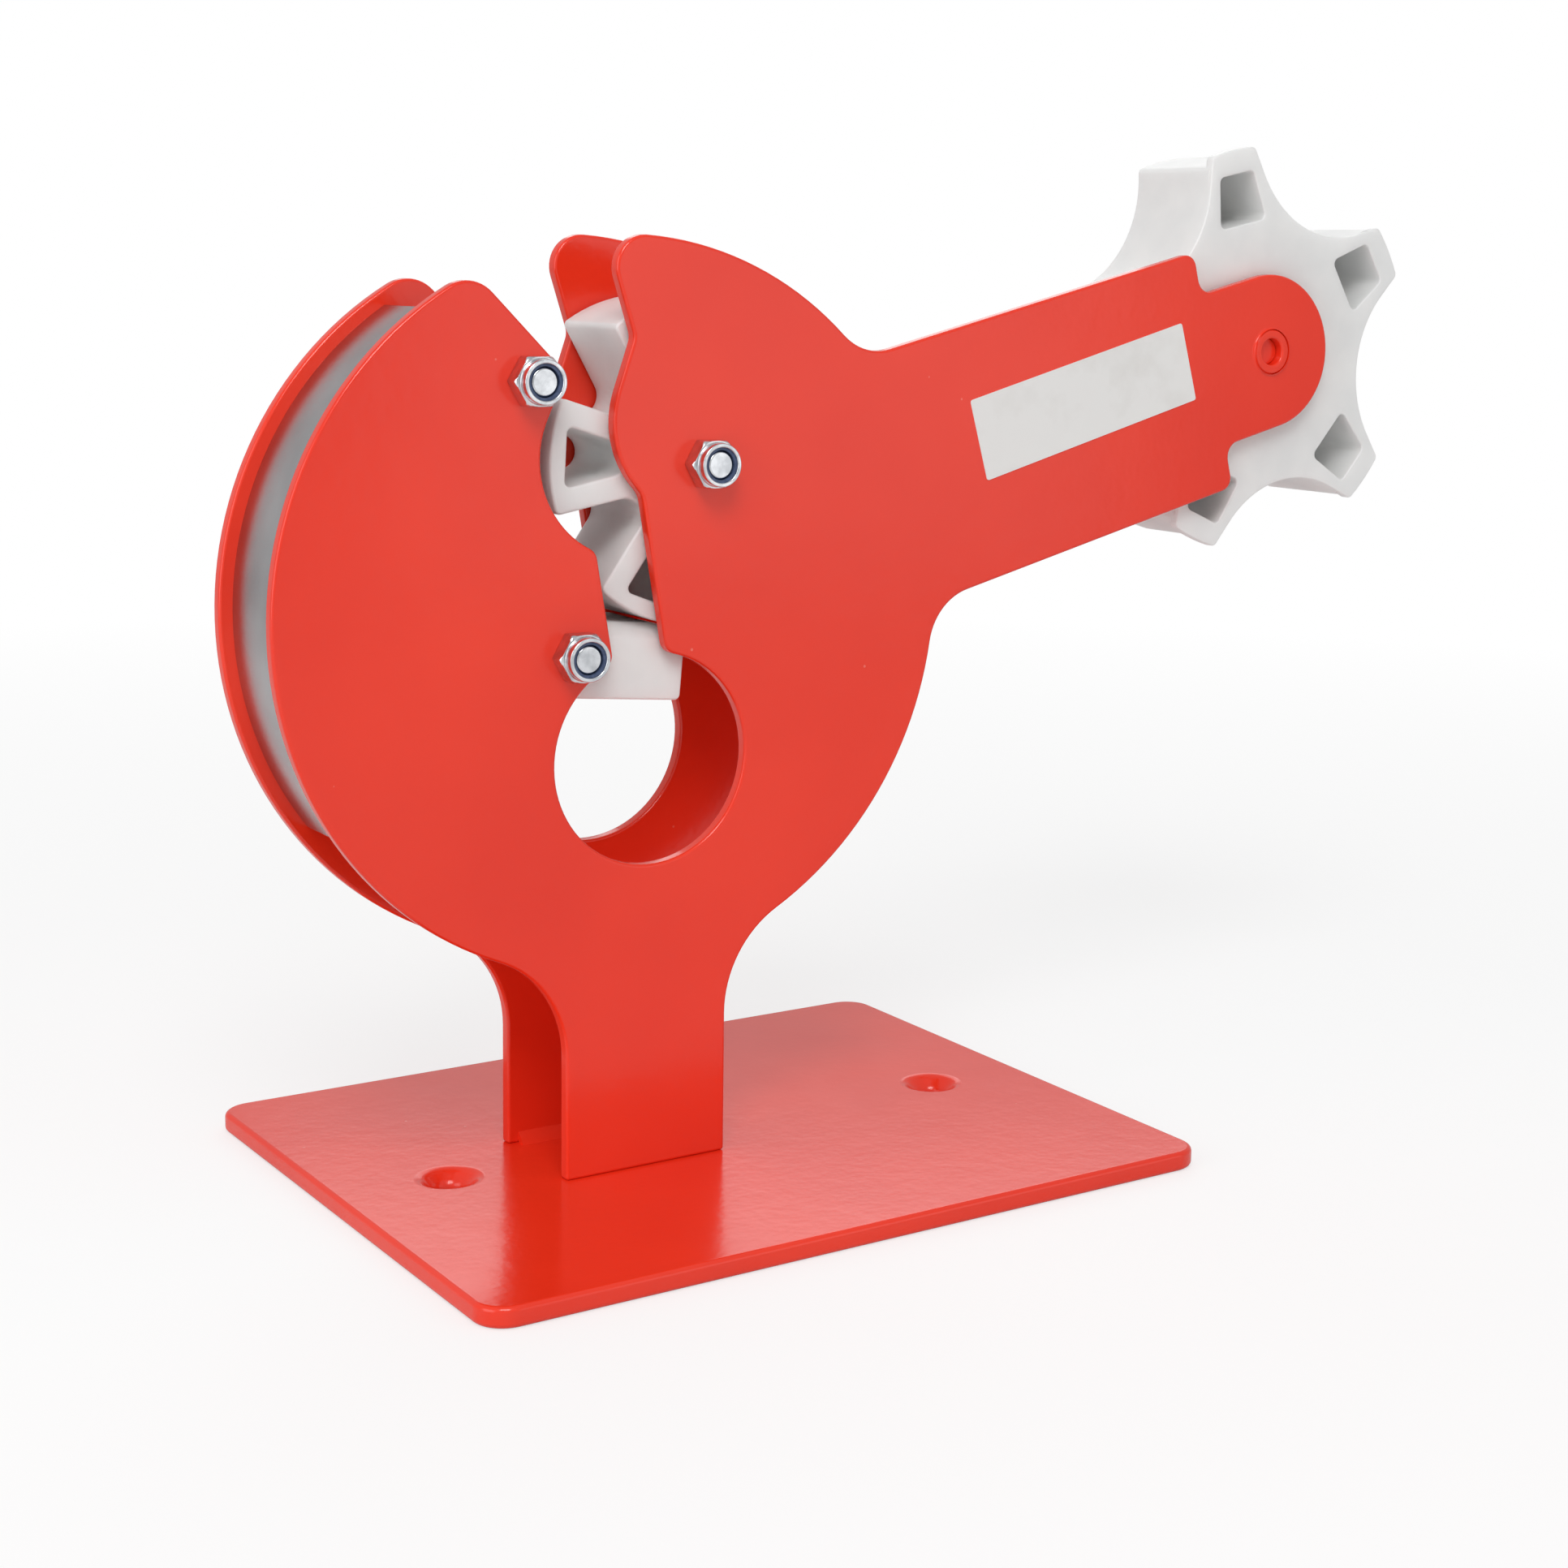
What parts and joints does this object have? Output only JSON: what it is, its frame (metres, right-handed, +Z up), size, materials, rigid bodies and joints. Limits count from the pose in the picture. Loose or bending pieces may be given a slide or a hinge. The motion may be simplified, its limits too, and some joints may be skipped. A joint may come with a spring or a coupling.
{
  "type": "bag neck sealer",
  "caption": "Bench-top bag neck taper: slotted round head on a base plate, with a star wheel, a sprung knife gate and an arm that carries a tape roll hub.",
  "frame": {"origin": "middle of the base plate's underside, on the bench", "axes": "+X to the right along the base plate and towards the tape arm, +Y away from the user, +Z up"},
  "size_m": [0.2403, 0.114, 0.1835],
  "materials": {
    "red_powder_coat": "glossy red powder coat with fine orange peel",
    "white_nylon": "white nylon, satin, slightly translucent",
    "zinc_steel": "bright zinc plating",
    "sheet_steel": "bright rolled sheet steel",
    "tube_steel": "turned steel",
    "spring_steel": "drawn spring wire",
    "blade_steel": "ground blade steel",
    "ring_nylon": "blue-grey nylon"
  },
  "bodies": {
    "frame": {"base_plate": "red_powder_coat", "front_side_plate": "red_powder_coat", "back_side_plate": "red_powder_coat", "leg_weld_beads": "red_powder_coat", "cover_strip": "sheet_steel", "pivot_bolts": "zinc_steel", "locknuts": "zinc_steel", "locknut_nylon_rings": "ring_nylon", "entry_spacer_tube": "tube_steel", "wheel_axle_tube": "tube_steel", "gate_axle_tube": "tube_steel", "gate_stop_pin": "tube_steel", "gate_spring": "spring_steel", "hub_axle_bolt": "zinc_steel", "hub_washer": "zinc_steel"},
    "star_wheel": {"star_wheel": "white_nylon"},
    "gate": {"gate_block": "white_nylon", "knife_blade": "blade_steel", "blade_screws": "zinc_steel"},
    "tape_hub": {"tape_hub": "white_nylon"}
  },
  "joints": [
    {"name": "star_wheel_spin", "type": "hinge", "parent": "frame", "child": "star_wheel", "pos_m": [-0.0079, 0, 0.1249], "axis": [0, 1, 0], "continuous": true},
    {"name": "gate_swing", "type": "hinge", "parent": "frame", "child": "gate", "pos_m": [-0.0325, 0, 0.0935], "axis": [0, 1, 0], "range_deg": [0, 40], "stiffness_Nm_per_rad": 0.012, "springref_deg": -34.38, "deforming": ["gate_spring"]},
    {"name": "tape_hub_spin", "type": "hinge", "parent": "frame", "child": "tape_hub", "pos_m": [0.1193, 0, 0.144], "axis": [0, 1, 0], "continuous": true}
  ]
}
